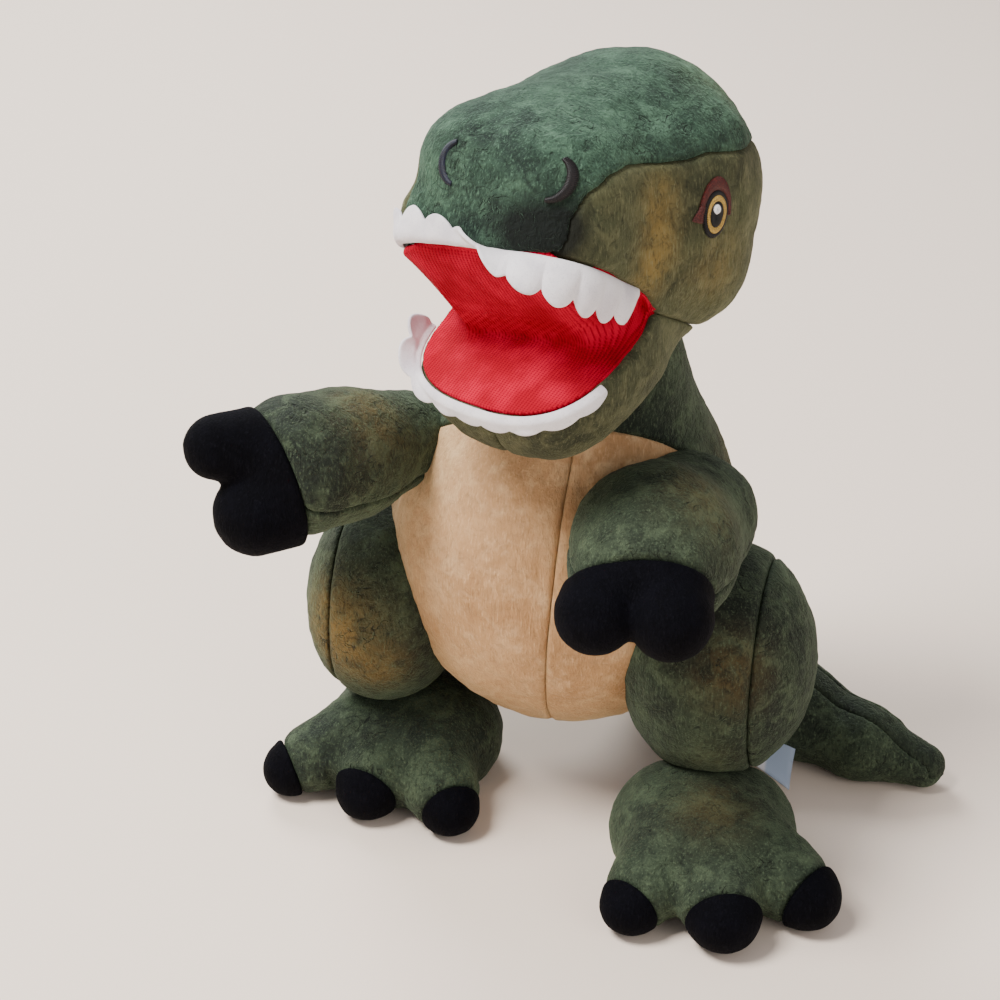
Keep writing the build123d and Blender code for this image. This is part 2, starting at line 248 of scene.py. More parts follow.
def mouth(points):
    """The opening less the palate's pillow and the floor's hump."""
    aside = np.clip(np.abs(JAW.inside(points)[..., 1] + 3) / 24, 0, 1.2)
    return join(below_palate(points), above_floor(points), 2.5 + 9 * aside**2)


def face(points):
    return join(head(points), jaw(points), 6)


def arm(points, side):
    shoulder, elbow, wrist = ARM_BALLS[side]
    return join(pod(points, *shoulder, *elbow), pod(points, *elbow, *wrist), 5)


def mitt(points, side):
    first, second = (pod(points, *lobe) for lobe in MITT_LOBES[side])
    return join(first, second, 2.5)


def thigh(points, side):
    return blob(points, THIGH_CENTRES[side], THIGH_RADII[side])


def toe(points, side, name):
    """A toe with its claw. The claw's end is a ball as high as its own radius."""
    tip, centre = np.array(CLAW_TIPS[side][name]), FEET[side].centre
    root = (*(centre[:2] + 0.42 * (tip[:2] - centre[:2])), 12.5)
    ball = (*(centre[:2] + 0.80 * (tip[:2] - centre[:2])), 10.5)
    pad = pod(points, root, 13.5, ball, tip[2] + 2.0)
    return join(pad, pod(points, ball, tip[2] + 1.2, tip, tip[2]), 3)


def foot(points, side):
    field = blob(FEET[side].inside(points), (-3, 0, -3), (25, 25, 18.5))
    for name in CLAW_TIPS[side]:
        field = join(field, toe(points, side, name), 3)
    return field


def leg(points, side):
    return join(thigh(points, side), foot(points, side), 1.5)


def tail(points):
    field = None
    for start, end in zip(TAIL_BALLS, TAIL_BALLS[1:]):
        part = pod(points, *start, *end)
        field = part if field is None else join(field, part, 6)
    return field


# ---- cloth --------------------------------------------------------------------------
def crinkle(points, seed, strength=1.0):
    """The unevenness of short pile over loose fibre."""
    lumps = 0.55 * noise(points, 17, seed) + 0.22 * noise(points, 7, seed + 1)
    nubs = 0.20 * noise(points, 2.9, seed + 2) + 0.13 * noise(points, 1.7, seed + 3)
    return strength * (lumps + nubs)


def plane(points, origin, normal):
    normal = np.array(normal, float)
    normal /= np.linalg.norm(normal)
    return (points - np.array(origin, points.dtype)) @ normal.astype(points.dtype)


def cells(low, high, step):
    axes = [np.arange(low[axis], high[axis] + step, step, dtype=np.float32) for axis in range(3)]
    return np.stack(np.meshgrid(*axes, indexing="ij"), -1)


def mesh_object(name, places, faces, rest=None):
    mesh = bpy.data.meshes.new(name)
    mesh.vertices.add(len(places))
    mesh.vertices.foreach_set("co", np.asarray((places + HOME) * MM, np.float32).ravel())
    mesh.loops.add(faces.size)
    mesh.loops.foreach_set("vertex_index", faces.astype(np.int32).ravel())
    mesh.polygons.add(len(faces))
    mesh.polygons.foreach_set("loop_start", np.arange(0, faces.size, faces.shape[1], dtype=np.int32))
    mesh.polygons.foreach_set("loop_total", np.full(len(faces), faces.shape[1], np.int32))
    mesh.update(calc_edges=True)
    mesh.validate()
    mesh.shade_smooth()
    put(mesh, "rest", places if rest is None else rest)
    thing = bpy.data.objects.new(name, mesh)
    bpy.context.scene.collection.objects.link(thing)
    return thing


def grid_faces(rows, columns):
    """The quads of a sheet whose places are listed row by row."""
    index = np.arange(rows * columns).reshape(rows, columns)
    return np.stack((index[:-1, :-1], index[1:, :-1], index[1:, 1:], index[:-1, 1:]), -1).reshape(-1, 4)


def put(mesh, name, values):
    """Keeps a value or a vector on every vertex, for its material."""
    values = np.asarray(values, np.float32)
    kind, field = ("FLOAT_VECTOR", "vector") if values.ndim == 2 else ("FLOAT", "value")
    mesh.attributes.new(name, kind, "POINT").data.foreach_set(field, values.ravel())


def surface(name, field, low, step):
    """The closed mesh at a field's zero."""
    volume = openvdb.FloatGrid(3 * step)
    volume.copyFromArray(np.clip(field, -3 * step, 3 * step).astype(np.float32))
    places, faces = volume.convertToQuads()
    places = places * step + np.array(low)
    corners = places[faces]
    outward = np.cross(corners[:, 2] - corners[:, 0], corners[:, 3] - corners[:, 1])
    if np.einsum("ij,ij", corners[:, 0] - places.mean(0), outward) < 0:
        faces = faces[:, ::-1]
    return mesh_object(name, places, faces)


def panels(form, low, high, pieces, seed, step=STEP, strength=1.0, rim=1.6):
    """Cuts a form into panels. Each entry of pieces is a name and the fields it has to lie inside."""
    points = cells(low, high, step)
    field = form(points)
    band = np.abs(field) < 4
    field[band] += crinkle(points[band], seed, strength).astype(field.dtype)
    made = {}
    for name, limits in pieces.items():
        part = field
        for limit in limits:
            part = meet(part, limit(points), rim)
        made[name] = surface(name, part, low, step)
    return made


# ---- materials ----------------------------------------------------------------------
class Shader:
    """Builds one material from nodes. Values that are node outputs are linked, others are set."""

    def __init__(self, name):
        self.material = bpy.data.materials.new(name)
        self.material.use_nodes = True
        self.tree = self.material.node_tree
        self.base = self.tree.nodes["Principled BSDF"]

    def fill(self, node, inputs):
        """Sets a node's inputs, which are keyed by their names or their places."""
        for key, value in inputs.items():
            socket = node.inputs[key]
            if isinstance(value, bpy.types.NodeSocket):
                self.tree.links.new(value, socket)
            else:
                socket.default_value = value
        return node

    def node(self, kind, settings=None, **inputs):
        node = self.tree.nodes.new(kind)
        for key, value in (settings or {}).items():
            setattr(node, key, value)
        named = {key.replace("_", " "): value for key, value in inputs.items()}
        return self.fill(node, named)

    def attribute(self, name, output="Vector"):
        return self.node("ShaderNodeAttribute", {"attribute_name": name}).outputs[output]

    def stretched(self, vector, scale):
        node = self.node("ShaderNodeMapping")
        return self.fill(node, {"Vector": vector, "Scale": scale}).outputs[0]

    def noise(self, vector, size, detail=2.0, rough=0.5, warp=0.0):
        node = self.node("ShaderNodeTexNoise", {"noise_dimensions": "3D"}, Vector=vector, Scale=1 / size)
        inputs = {"Detail": detail, "Roughness": rough, "Distortion": warp}
        return self.fill(node, inputs).outputs["Fac"]

    def ramp(self, value, low, high, to_low=0.0, to_high=1.0):
        node = self.node("ShaderNodeMapRange", {"interpolation_type": "SMOOTHSTEP"})
        inputs = {"Value": value, "From Min": low, "From Max": high, "To Min": to_low, "To Max": to_high}
        return self.fill(node, inputs).outputs[0]

    def math(self, kind, first, second=0.0):
        node = self.node("ShaderNodeMath", {"operation": kind})
        return self.fill(node, {0: first, 1: second}).outputs[0]

    def mix(self, share, first, second):
        """Mixes two colours, whose sockets are the node's seventh and eighth."""
        node = self.node("ShaderNodeMix", {"data_type": "RGBA", "blend_type": "MIX", "clamp_factor": True})
        return self.fill(node, {0: share, 6: first, 7: second}).outputs[2]

    def bumped(self, height, strength, distance, under=None):
        inputs = {"Height": height, "Strength": strength, "Distance": distance}
        if under is not None:
            inputs["Normal"] = under
        return self.fill(self.node("ShaderNodeBump"), inputs).outputs[0]

    def finish(self, **inputs):
        self.fill(self.base, {key.replace("_", " "): value for key, value in inputs.items()})
        return self.material


def colour(red, green, blue):
    """A display colour, as it would be picked from a screen, in the shader's linear values."""
    linear = [((c / 255 + 0.055) / 1.055) ** 2.4 if c > 10 else c / 255 / 12.92 for c in (red, green, blue)]
    return (*linear, 1.0)


def scaled(tint, factor, lift=0.0):
    """A linear colour made darker or lighter."""
    return tuple(min(1, factor * c + lift) for c in tint[:3]) + (1,)


def pile_cloth(
    name, deep, middle, light, patch, nub=1.0, streak=(1, 1, 0.3), contrast=1.0, sheen=0.5, creased=0.0
):
    """Short pile: airbrushed colour, crushed nap and fine fibres, with painted highlights and painted shade.

    deep, middle and light are the cloth's own colours, and patch is the one sprayed over it. nub is
    the bumps' strength, streak how the fibres are drawn out, contrast the strength of the painted
    highlights on the fibres and of the painted shade between them and in the nap's hollows, and
    creased the crushed lines' share of painted shade.
    """
    s = Shader(name)
    rest = s.attribute("rest")
    wide = s.noise(rest, 26, 3, 0.55, 0.6)
    close = s.noise(rest, 7, 3, 0.6, 0.8)
    fibre = s.noise(s.stretched(rest, streak), 0.55, 2, 0.65, 0.4)
    nap = s.noise(rest, 2.2, 3, 0.6, 1.2)
    base = s.mix(s.ramp(wide, 0.35, 0.65), deep, middle)
    base = s.mix(s.ramp(close, 0.42, 0.72, 0, 0.55), base, light)
    speckle = s.ramp(s.noise(rest, 5, 3, 0.6, 0.5), 0.25, 0.6, 0.35, 1)
    base = s.mix(s.math("MULTIPLY", s.attribute("patch", "Fac"), speckle), base, patch)
    # Painted shade in the nap's hollows, where the bump below sinks the surface.
    base = s.mix(s.ramp(nap, 0.3, 0.5, 0.5 * contrast, 0), base, scaled(deep, 0.4))
    # Painted highlights on the raised fibres, and painted shade between them.
    base = s.mix(s.ramp(fibre, 0.52, 0.78, 0, 0.5 * contrast), base, scaled(light, 1.45, 0.004))
    base = s.mix(s.ramp(fibre, 0.46, 0.25, 0, 0.55 * contrast), base, scaled(deep, 0.4))
    ridge = s.math("ABSOLUTE", s.math("SUBTRACT", s.noise(rest, 6.5, 2, 0.5, 1.6), 0.5))
    crushed = s.math("MULTIPLY", s.ramp(ridge, 0.022, 0.0), s.ramp(s.noise(rest, 11, 2), 0.48, 0.62))
    # Painted shade in the crushed creases, which the bump below also sinks.
    crease = s.math("MULTIPLY", crushed, creased)
    base = s.mix(crease, base, scaled(deep, 0.3))
    base = s.mix(s.attribute("shade", "Fac"), base, scaled(deep, 0.2))
    normal = s.bumped(s.math("SUBTRACT", nap, crease), 0.6 * nub, 0.0012)
    normal = s.bumped(fibre, 0.7, 0.0005, normal)
    inputs = {"Base_Color": base, "Roughness": 0.85, "Specular_IOR_Level": 0.5 * sheen, "Normal": normal}
    inputs |= {"Sheen_Weight": sheen, "Sheen_Roughness": 0.4, "Sheen_Tint": scaled(light, 1.8, 0.01)}
    return s.finish(**inputs)


GREEN = pile_cloth(
    "green_pile", colour(23, 30, 24), colour(46, 57, 42), colour(80, 94, 70), colour(122, 98, 52),
    nub=1.3, creased=0.75,
)
CROWN = pile_cloth(
    "crown_pile", colour(24, 37, 31), colour(44, 66, 52), colour(80, 110, 88), colour(112, 102, 62),
    nub=1.3, creased=0.75,
)
CHEEK = pile_cloth(
    "cheek_pile", colour(44, 48, 32), colour(70, 74, 50), colour(104, 104, 74), colour(136, 114, 62),
    nub=0.5, streak=(1, 1, 0.2),
)
CREAM = pile_cloth(
    "cream_pile", colour(166, 126, 86), colour(192, 153, 110), colour(216, 184, 142), colour(172, 126, 80),
    nub=0.5, streak=(1, 1, 0.2), contrast=0.5,
)
BLACK = pile_cloth(
    "claw_velour", colour(3, 3, 6), colour(5, 5, 10), colour(8, 8, 15), colour(5, 5, 10),
    nub=0.25, sheen=0.12,
)
COURSE_GAP, WALE_GAP = 0.9, 0.6
WAVES_PER_UNIT = 3.2  # of the wave texture at a scale of 1


def knit_cloth():
    s = Shader("mouth_knit")
    place = s.attribute("course")

    def ribs(direction, gap, wobble):
        settings = {"bands_direction": direction, "wave_profile": "SIN"}
        inputs = {"Vector": place, "Scale": 1 / gap / WAVES_PER_UNIT, "Distortion": wobble}
        return s.node("ShaderNodeTexWave", settings, **inputs).outputs["Fac"]

    yarn = s.math("ADD", ribs("X", COURSE_GAP, 0.6), s.math("MULTIPLY", ribs("Y", WALE_GAP, 0.4), 0.5))
    rest = s.attribute("rest")
    base = s.mix(s.ramp(s.noise(rest, 9, 3), 0.35, 0.7), colour(160, 0, 32), colour(194, 0, 48))
    # Painted shade in the grooves between the yarns, which the bump below sinks.
    base = s.mix(s.ramp(yarn, 0.7, 0.15, 0, 0.55), base, colour(92, 0, 8))
    normal = s.bumped(yarn, 0.45, 0.0004)
    normal = s.bumped(s.noise(rest, 0.4, 2), 0.25, 0.0002, normal)
    return s.finish(Base_Color=base, Roughness=0.9, Specular_IOR_Level=0.1, Normal=normal)


def felt_cloth():
    s = Shader("white_felt")
    rest = s.attribute("rest")
    matted = s.noise(rest, 0.8, 4, 0.7, 2.0)
    base = s.mix(s.ramp(s.noise(rest, 8, 3), 0.3, 0.7), colour(214, 208, 214), colour(240, 236, 238))
    # Painted shade in the felt's low, matted hollows, which the bump below sinks.
    base = s.mix(s.ramp(matted, 0.5, 0.3, 0, 0.4), base, colour(178, 170, 180))
    normal = s.bumped(matted, 0.5, 0.0005)
    return s.finish(Base_Color=base, Roughness=0.95, Sheen_Weight=0.4, Sheen_Roughness=0.6, Normal=normal)


def thread(name, base_colour, painted_highlight):
    s = Shader(name)
    rest = s.attribute("rest")
    twist = s.noise(rest, 0.25, 2)
    # Lighter on the raised strands of the twist: a painted highlight.
    base = s.mix(s.ramp(twist, 0.4, 0.7), base_colour, painted_highlight)
    normal = s.bumped(twist, 0.3, 0.0001)
    return s.finish(Base_Color=base, Roughness=0.5, Specular_IOR_Level=0.35, Normal=normal)


def satin_cloth():
    s = Shader("label_satin")
    rest = s.attribute("rest")
    settings = {"bands_direction": "DIAGONAL"}
    weave = s.node("ShaderNodeTexWave", settings, Vector=rest, Scale=0.9, Distortion=0.3)
    end = s.ramp(s.attribute("patch", "Fac"), 0.70, 0.74)
    base = s.mix(end, colour(214, 212, 214), colour(150, 168, 190))
    base = s.mix(s.ramp(weave.outputs["Fac"], 0.3, 0.8, 0, 0.25), base, colour(190, 190, 198))
    normal = s.bumped(weave.outputs["Fac"], 0.2, 0.0001)
    return s.finish(Base_Color=base, Roughness=0.4, Sheen_Weight=0.3, Normal=normal)


KNIT, FELT, SATIN = knit_cloth(), felt_cloth(), satin_cloth()
# Each thread's own colour, then the lighter colour of its painted highlight.
THREADS = {
    "black": thread("eye_black_thread", colour(4, 4, 6), colour(14, 13, 17)),
    "gold": thread("eye_gold_thread", colour(150, 118, 52), colour(206, 176, 96)),
    "white": thread("eye_white_thread", colour(226, 226, 228), colour(250, 250, 250)),
    "maroon": thread("eye_maroon_thread", colour(52, 12, 10), colour(96, 34, 26)),
    "navy": thread("nostril_navy_thread", colour(4, 6, 16), colour(16, 24, 52)),
    "near_black": thread("nostril_soot_thread", colour(3, 2, 4), colour(22, 10, 12)),
}


# ---- dressing -----------------------------------------------------------------------
def points_of(thing):
    co = np.zeros(len(thing.data.vertices) * 3, np.float32)
    thing.data.vertices.foreach_get("co", co)
    return co.reshape(-1, 3) / MM - HOME.astype(np.float32)


def dress(thing, material, nodes, rides, patch=None, shade=None):
    """Gives a piece its material and its patch and shade masks, hides the CAD parts it stands for, and
    parents it to the body it moves with; a piece that rides a bend is only baked in place.
    """
    thing.data.materials.append(material)
    places = points_of(thing)
    empty = np.zeros(len(places), np.float32)
    put(thing.data, "patch", empty if patch is None else np.clip(patch(places), 0, 1))
    put(thing.data, "shade", empty if shade is None else np.clip(shade(places), 0, 1))
    if nodes:
        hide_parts(*nodes)
    if isinstance(rides, str):
        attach(thing, rides)
    else:
        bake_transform(thing)
    return thing


def spots(*entries):
    """A soft mask that is 1 at the middle of each entry, a centre and a radius."""

    def mask(places):
        total = np.zeros(len(places), np.float32)
        for centre, radius, weight in entries:
            total += weight * np.exp(-((length(places - np.array(centre)) / radius) ** 2))
        return total

    return mask


# ---- body ---------------------------------------------------------------------------
BODY_FOOT = np.array((0, 16, 24))
BODY_AXIS = NECK_PIVOT - BODY_FOOT
BODY_AXIS /= np.linalg.norm(BODY_AXIS)
BACKWARD = np.cross(BODY_AXIS, (1, 0, 0))
SEAM_FOOT = BODY_FOOT - 6 * BACKWARD
NECK_BEND = ("torso", "neck", NECK_PIVOT - (0, 0, 20), NECK_PIVOT)


def in_front(points):
    """Negative in front of the seams that join belly and back."""
    side = plane(points, SEAM_FOOT, BACKWARD)
    low = np.minimum(points[..., 2] - 75, 0)
    high = np.maximum(points[..., 2] - 97, 0)
    return side + 0.001 * low**2 + 0.028 * high**2


def to_left(points):
    """Negative to the left of the seams down the belly's middle and the spine."""
    return plane(points, BODY_FOOT, (-1, 0, BODY_AXIS[0] / BODY_AXIS[2]))


def make_torso():
    limits = {
        "belly_left": [in_front, to_left],
        "belly_right": [in_front, lambda p: -to_left(p)],
        "back_left": [lambda p: -in_front(p), to_left],
        "back_right": [lambda p: -in_front(p), lambda p: -to_left(p)],
    }
    made = panels(torso, (-52, -34, 20), (54, 62, 158), limits, 11)
    warm = spots(((-20, -20, 60), 25, 0.5), ((25, -15, 50), 22, 0.5), ((0, -28, 90), 14, 0.35))
    golden = spots(((38, 20, 90), 14, 0.5), ((-38, 25, 60), 16, 0.6), ((10, 55, 90), 16, 0.5))
    pieces = (
        ("belly_left", CREAM, "cream_pile", ["belly_panel_left", "body_stuffing"], warm),
        ("belly_right", CREAM, "cream_pile", ["belly_panel_right"], warm),
        ("back_left", GREEN, "green_pile", ["back_panel_left", "neck_panel", "neck_stuffing"], golden),
        ("back_right", GREEN, "green_pile", ["back_panel_right"], golden),
    )
    for name, cloth, slot, nodes, patch in pieces:
        dress(made[name], cloth, nodes, NECK_BEND, patch)


# ---- head ---------------------------------------------------------------------------
def head_place(forward, left, up):
    return tuple(HEAD.outside((forward, left, up)))


def skin_cut(points):
    return meet(face(points), lips(points) + 0.4, 1.3)


def above_jaw(points):
    """Positive on the head's side of the plane from the mouth's fold to the nape."""
    return JAW_SEAM.inside(points)[..., 2]


def brow_seam(points):
    """Positive above the seam that runs from the muzzle's side, over the eye, to the nape."""
    local = HEAD.inside(points)
    along = (-40, -12, 13, 17, 27, 38, 45, 50, 52.5, 54.5, 57)
    rise = (16, 17, 15.5, 14, 12.5, 12, 10, 6, 0, -10, -34)
    return local[..., 2] - np.interp(local[..., 0], along, rise)


def make_head():
    bend = ("head", "jaw", JAW_SEAM.outside((0, 0, 1.5)), JAW_SEAM.outside((0, 0, -7)))

    def middle(points):
        return HEAD.inside(points)[..., 1]

    limits = {
        "crown": [lambda p: -brow_seam(p), lambda p: -above_jaw(p)],
        "cheek_left": [brow_seam, lambda p: -middle(p), lambda p: -above_jaw(p)],
        "cheek_right": [brow_seam, middle, lambda p: -above_jaw(p)],
        "jaw_left": [above_jaw, lambda p: -middle(p)],
        "jaw_right": [above_jaw, middle],
    }
    made = panels(skin_cut, (-38, -66, 128), (56, 42, 220), limits, 31)
    streaks = ((28, 28, 6), (27, 28, -1), (26, 28, -8), (27, 27, -15))
    golden = spots(*((head_place(*place), 5.5, 0.6) for place in streaks), (head_place(4, 31, -12), 9, 0.35))
    top = spots((head_place(-10, 15, 30), 12, 0.3))
    # Darker spots for the shade mask: darker patches on the muzzle around and below the near nostril, and
    # painted shade in the brow crease above the eye.
    near_black = (  # forward, left, up, radius, weight
        (57, 14, -5, 8, 1.0),
        (57, 6, -5, 7, 0.8),
        (54, 19, -2, 6, 0.8),
        (54, 16, -14, 7, 0.5),
        (20, 28, 14, 5, 0.5),
    )
    dark = spots(*((head_place(*place), radius, weight) for *place, radius, weight in near_black))
    # Painted shade under the jaw.
    under = spots((tuple(JAW.outside((30, 6, -18))), 20, 0.4))
    pieces = (
        ("crown", CROWN, ["crown_panel", "snout_panel", "head_stuffing"], "head", FIRM_FILL, top, dark),
        ("cheek_left", CHEEK, ["cheek_panel_left"], "head", FIRM_FILL, golden, dark),
        ("cheek_right", CHEEK, ["cheek_panel_right"], "head", FIRM_FILL, golden, dark),
        ("jaw_left", CHEEK, ["jaw_panel_left", "jaw_stuffing"], bend, FILL, None, under),
        ("jaw_right", CHEEK, ["jaw_panel_right"], bend, FILL, None, under),
    )
    for name, cloth, nodes, rides, fill, patch, shade in pieces:
        dress(made[name], cloth, nodes, rides, patch, shade)
    return bend


def make_lining(bend):
    """The red knit that lines the mouth from lip to lip, one stretched sheet."""
    low, high = (-34, -64, 134), (44, 12, 196)
    points = cells(low, high, FINE_STEP)
    cavity = mouth(points)
    layer = np.maximum(cavity - 0.4, -cavity - 1.1)
    on_roof = PALATE.inside(points)
    on_roof[..., 2] = 0
    head_above = head(PALATE.outside(on_roof).astype(np.float32))
    under_head = np.where(below_palate(points) < above_floor(points), head_above, 9)
    field = np.maximum(layer, np.minimum(face(points) + 1.5, under_head + 0.9))
    thing = surface("mouth_lining", field, low, FINE_STEP)
    places = points_of(thing)
    floor = JAW.inside(places)
    roof = PALATE.inside(places)
    along = np.where(floor[:, 2] < -roof[:, 2], floor[:, 0], -roof[:, 0])
    put(thing.data, "course", np.stack((floor[:, 1], along, np.zeros(len(places))), -1))
    dress(thing, KNIT, ["palate_lining", "jaw_lining"], bend)


LIP_SHIFT = -3.5  # of the muzzle's middle, to the toy's right
UPPER_TEETH = (  # angle, lean, depth, cut
    (-104, 10, 6.0, 0.45), (-66, -30, 6.5, 0.5), (-52, -55, 8.2, 0.5), (-34, -55, 8, 0.5),
    (-18, -50, 6.5, 0.42), (-6, -38, 5.5, 0.4), (8, 10, 5.5, 0.35), (18, 60, 7.5, 0.33),
    (34, 78, 9.6, 0.4), (60, 84, 10.4, 0.42), (82, 84, 9.4, 0.42), (97, 84, 7.5, 0.42),
)
LOWER_TEETH = (
    (-76, 60, 6.5, 0.5), (-62, 62, 7.5, 0.5), (-50, 40, 6, 0.45), (-38, -20, 5, 0.45),
    (-20, -50, 4.6, 0.42), (20, -60, 4.4, 0.42), (50, -55, 4.2, 0.4), (76, -45, 3.4, 0.3),
)
FELT_THICKNESS = 0.9
SEAM_ALLOWANCE = 1.5  # of felt, inside the lip


def lip_curve(plane_frame, centre, angles, form, inset):
    """Where a form's surface crosses a frame's level plane, seen from a centre, as points in that frame."""
    rays = np.stack((np.cos(angles), np.sin(angles), np.zeros(len(angles))), -1)
    origin = np.array((centre, LIP_SHIFT, 0))
    near, far = np.zeros(len(angles)), np.full(len(angles), 60.0)
    for _ in range(30):
        middle = (near + far) / 2
        places = plane_frame.outside(origin + rays * middle[:, None])
        inside = form(places) < 0
        near, far = np.where(inside, middle, near), np.where(inside, far, middle)
    return origin + rays * (near - inset)[:, None], rays


def clear_of(form, places, gap, share):
    """Lifts the places that lie under a form's skin to a gap above it."""
    for _ in range(3):
        slope = [form(places + step) - form(places - step) for step in 0.5 * np.eye(3)]
        places = places + (np.maximum(gap - form(places), 0) * share * np.array(slope)).T
    return places


def make_teeth(name, plane_frame, form, centre, count, profile, node, body, down):
    """A strip of felt in a lip's seam, scalloped along its free edge.

    profile lists the angle along the lip, the lean out of the lip's plane, the strip's depth and
    how much of that depth the scallops cut away. down is -1 for a strip that leans up.
    """
    stops, leans, depths, cuts = np.array(profile, float).T
    columns, rows = count * 16 + 1, 9
    angles = np.radians(np.linspace(stops[0], stops[-1], columns))
    rim, rays = lip_curve(plane_frame, centre, angles, form, 1.0)
    gone = np.concatenate(([0], np.cumsum(length(np.diff(rim, axis=0)))))
    share = gone / gone[-1]
    scallop = np.abs(np.sin(np.pi * share * count)) ** 0.6
    at = np.degrees(angles)
    cut = np.interp(at, stops, cuts)
    end = 1 - np.clip(np.minimum(gone, gone[-1] - gone) / 4.5, 0, 1)
    reach = np.interp(at, stops, depths) * (1 - cut + cut * scallop) * (0.25 + 0.75 * np.sqrt(1 - end * end))
    ripple = np.random.default_rng(7).normal(0, 0.10, count + 2)
    lean = np.radians(np.interp(at, stops, leans))
    lean += np.interp(share * count, np.arange(count + 2) - 0.5, ripple)
    out = np.stack((np.gradient(rim[:, 1]), -np.gradient(rim[:, 0]), np.zeros(columns)), -1)
    out /= length(out)[:, None]
    out *= np.sign(np.einsum("ij,ij->i", out, rays))[:, None]
    places = []
    for row in range(rows):
        part = row / (rows - 1)
        bend = lean * part**0.45
        away = out * np.cos(bend)[:, None] + np.array((0, 0, -1.0)) * down * np.sin(bend)[:, None]
        start = rim - out * SEAM_ALLOWANCE + np.array((0, 0, 0.1)) * down
        places.append(start + away * (SEAM_ALLOWANCE + reach * part)[:, None])
    flat = np.array(places).reshape(-1, 3)
    free = np.repeat(np.clip(np.arange(rows) / 3, 0, 1), columns)
    laid = clear_of(form, plane_frame.outside(flat), 0.6, free)
    thing = mesh_object(name, laid, grid_faces(rows, columns), flat)
    solid = thing.modifiers.new("cloth", "SOLIDIFY")
    solid.thickness, solid.offset = FELT_THICKNESS * MM, 0
    round_off = thing.modifiers.new("smooth", "SUBSURF")
    round_off.levels = round_off.render_levels = 1
    dress(thing, FELT, [node], body)
    return thing


# ---- embroidery ---------------------------------------------------------------------
def onto(form, places, direction, lift):
    """Moves places along a direction to where they meet a form, and lifts them above it."""
    near, far = np.full(len(places), -60.0), np.full(len(places), 60.0)
    for _ in range(32):
        middle = (near + far) / 2
        inside = form(places + direction * middle[:, None]) < 0
        near, far = np.where(inside, middle, near), np.where(inside, far, middle)
    return places + direction * (near + lift)[:, None]


def stitches(name, starts, ends, lift, radius, material, nodes, direction):
    """Satin stitches: one arched thread from every start to its end, on the head's surface."""
    steps, sides = 5, 5
    share = np.linspace(0, 1, steps)[:, None, None]
    line = starts[None] * (1 - share) + ends[None] * share
    arch = lift + 0.35 * np.sin(np.pi * share[:, :, 0]) * np.ones(len(starts))
    flat = line.reshape(-1, 3)
    on_skin = onto(head, flat, direction, arch.ravel()).reshape(line.shape)
    run = ends - starts
    run /= np.maximum(length(run), 1e-6)[:, None]
    across = np.cross(run, direction)
    across /= np.maximum(length(across), 1e-6)[:, None]
    turns = np.arange(sides) * 2 * np.pi / sides
    taper = np.array((0.35, 1, 1, 1, 0.35))[:, None, None]
    ring = [on_skin + taper * radius * (np.cos(t) * across + np.sin(t) * direction) for t in turns]
    grid = np.stack(ring, 2)
    threads = len(starts)
    index = np.arange(steps * threads * sides).reshape(steps, threads, sides)
    after = np.roll(index, -1, 2)
    faces = np.stack((index[:-1], index[1:], after[1:], after[:-1]), -1).reshape(-1, 4)
    thing = mesh_object(name, grid.reshape(-1, 3), faces)
    dress(thing, material, nodes, "head")


def ring_stitches(name, centre, inner, outer, count, lift, tint, nodes, side, span=(0, 360), shift=(0, 0)):
    """Radial stitches between two ellipses on the side of the head. Angle 0 is forward, 90 is up."""
    angles = np.radians(np.linspace(*span, count, endpoint=span != (0, 360)))

    def edge(radii, offset):
        across = centre[0] + offset[0] + radii[0] * np.cos(angles)
        up = centre[1] + offset[1] + radii[1] * np.sin(angles)
        return HEAD.outside(np.stack((across, np.zeros(count), up), -1))

    outward = HEAD.axes[1] * side
    radius = max(0.26, 0.5 * max(outer) * math.radians(abs(span[1] - span[0])) / count * 1.1)
    starts, ends = edge(inner, shift), edge(outer, (0, 0))
    stitches(name, starts, ends, lift, radius, THREADS[tint], nodes, outward)


EYE_CENTRE = np.array((10.1, 1.5))
EYE_RINGS = (  # piece, inner and outer radii, stitches, lift, thread
    ("outline", (2.7, 4.2), (4.1, 5.9), 64, 0.30, "black"),
    ("iris", (2.0, 2.9), (3.3, 4.9), 56, 0.50, "gold"),
    ("pupil", (0.1, 0.1), (2.35, 3.5), 44, 0.60, "black"),
)


def make_eye(side_name, side):
    tag = f"eye_{side_name}"
    for part, inner, outer, count, lift, tint in EYE_RINGS:
        nodes = [tag] if part == "outline" else []
        ring_stitches(f"{tag}_{part}", EYE_CENTRE, inner, outer, count, lift, tint, nodes, side)
    glint = EYE_CENTRE + (0.5, 1.3)
    ring_stitches(f"{tag}_glint", glint, (0.05, 0.05), (1.15, 1.25), 18, 0.95, "white", [], side)
    lid = {"span": (-14, 178), "shift": (0, -0.3)}
    ring_stitches(f"{tag}_lid", EYE_CENTRE, (3.9, 5.7), (5.3, 9.0), 50, 0.25, "maroon", [], side, **lid)
    rise = np.array((-1.7, -1.1, -0.5, 0.1, 0.7, 1.3, 1.9))
    reach = (3.5, 3.4, 3.1, 2.8, 2.5, 2.1, 1.7)
    drop = (0, -0.3, -0.5, -0.7, -0.9, -1.0, -1.0)
    starts = np.stack((np.full(7, 3.6), np.zeros(7), rise), -1) + (EYE_CENTRE[0], 0, EYE_CENTRE[1])
    ends = starts + np.stack((reach, np.zeros(7), drop), -1)
    starts, ends = HEAD.outside(starts), HEAD.outside(ends)
    outward = HEAD.axes[1] * side
    stitches(f"{tag}_corner", starts, ends, 0.25, 0.5, THREADS["maroon"], [], outward)


NOSTRILS = {"left": (12.6, 8.0, "near_black"), "right": (-11.6, 6.4, "navy")}


